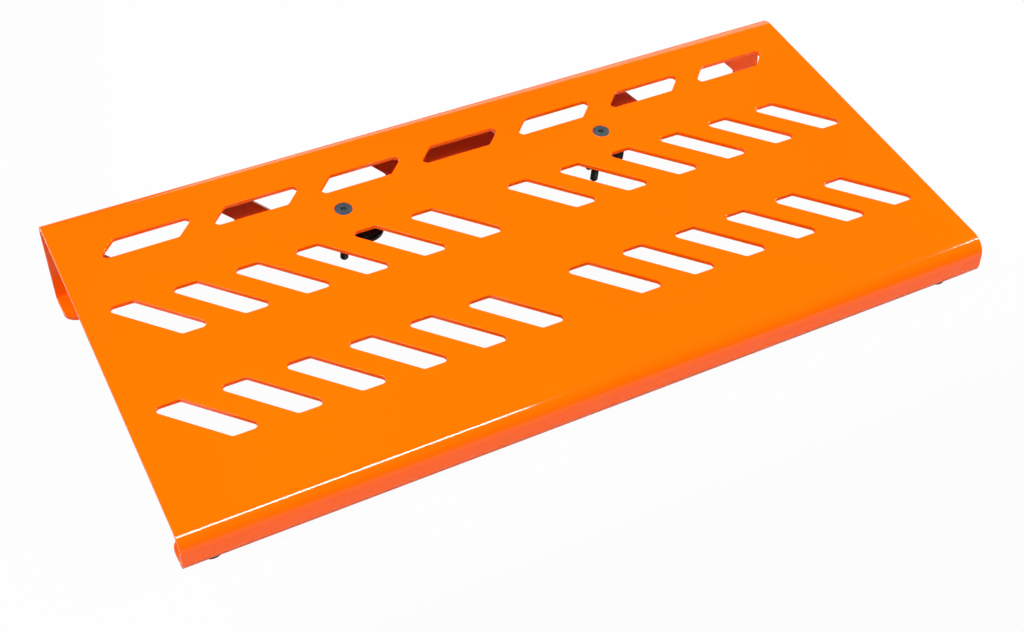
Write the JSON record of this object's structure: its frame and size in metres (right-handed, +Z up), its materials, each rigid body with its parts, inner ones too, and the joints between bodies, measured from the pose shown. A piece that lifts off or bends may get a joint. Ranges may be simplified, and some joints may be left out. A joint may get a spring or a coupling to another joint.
{
  "type": "pedalboard",
  "caption": "Bent sheet-metal pedalboard with a sloping slotted deck, rear cable openings, rubber feet and two under-deck screw clamps.",
  "frame": {"origin": "on the ground, under the middle of the board's box", "axes": "+X along the board to the player's right, +Y to the high back edge, +Z up; the deck leans 8.9 degrees down to the front"},
  "size_m": [0.6036, 0.2874, 0.0754],
  "materials": {
    "powder_coat": "gloss orange powder coat on aluminium sheet",
    "black_zinc_steel": "black zinc-plated steel fasteners, satin",
    "clamp_steel": "black powder-coated steel strip",
    "zinc_steel": "bright zinc-plated steel",
    "pad_rubber": "matt black rubber pad",
    "foot_rubber": "matt black moulded rubber"
  },
  "bodies": {
    "board": {"board_sheet": "powder_coat", "left_clamp_screw": "black_zinc_steel", "left_jam_nut": "black_zinc_steel", "right_clamp_screw": "black_zinc_steel", "right_jam_nut": "black_zinc_steel", "front_left_foot": "foot_rubber", "front_left_foot_screw": "zinc_steel", "front_left_foot_washer": "zinc_steel", "front_left_foot_nut": "zinc_steel", "front_right_foot": "foot_rubber", "front_right_foot_screw": "zinc_steel", "front_right_foot_washer": "zinc_steel", "front_right_foot_nut": "zinc_steel", "rear_left_foot": "foot_rubber", "rear_left_foot_screw": "zinc_steel", "rear_left_foot_washer": "zinc_steel", "rear_left_foot_nut": "zinc_steel", "rear_right_foot": "foot_rubber", "rear_right_foot_screw": "zinc_steel", "rear_right_foot_washer": "zinc_steel", "rear_right_foot_nut": "zinc_steel"},
    "left_slider": {"left_clamp_washer": "black_zinc_steel"},
    "left_clamp": {"left_clamp_bracket": "clamp_steel", "left_clamp_pad": "pad_rubber"},
    "left_nut": {"left_clamp_lock_nut": "black_zinc_steel"},
    "right_slider": {"right_clamp_washer": "black_zinc_steel"},
    "right_clamp": {"right_clamp_bracket": "clamp_steel", "right_clamp_pad": "pad_rubber"},
    "right_nut": {"right_clamp_lock_nut": "black_zinc_steel"}
  },
  "joints": [
    {"name": "left_clamp_travel", "type": "slide", "parent": "board", "child": "left_slider", "axis": [0, -0.1547, 0.988], "range_m": [-0.016, 0]},
    {"name": "left_clamp_swivel", "type": "hinge", "parent": "left_slider", "child": "left_clamp", "pos_m": [-0.10515, 0.0729, 0.04151], "axis": [0, -0.1547, 0.988], "continuous": true},
    {"name": "left_nut_spin", "type": "hinge", "parent": "left_slider", "child": "left_nut", "pos_m": [-0.10515, 0.07385, 0.03548], "axis": [0, -0.1547, 0.988], "range_deg": [-5760, 0]},
    {"name": "right_clamp_travel", "type": "slide", "parent": "board", "child": "right_slider", "axis": [0, -0.1547, 0.988], "range_m": [-0.016, 0]},
    {"name": "right_clamp_swivel", "type": "hinge", "parent": "right_slider", "child": "right_clamp", "pos_m": [0.10515, 0.0729, 0.04151], "axis": [0, -0.1547, 0.988], "continuous": true},
    {"name": "right_nut_spin", "type": "hinge", "parent": "right_slider", "child": "right_nut", "pos_m": [0.10515, 0.07385, 0.03548], "axis": [0, -0.1547, 0.988], "range_deg": [-5760, 0]}
  ],
  "couplings": [
    {"joint": "left_nut_spin", "follows": "left_clamp_travel", "rad_per_m": 6283.2},
    {"joint": "right_nut_spin", "follows": "right_clamp_travel", "rad_per_m": 6283.2}
  ]
}
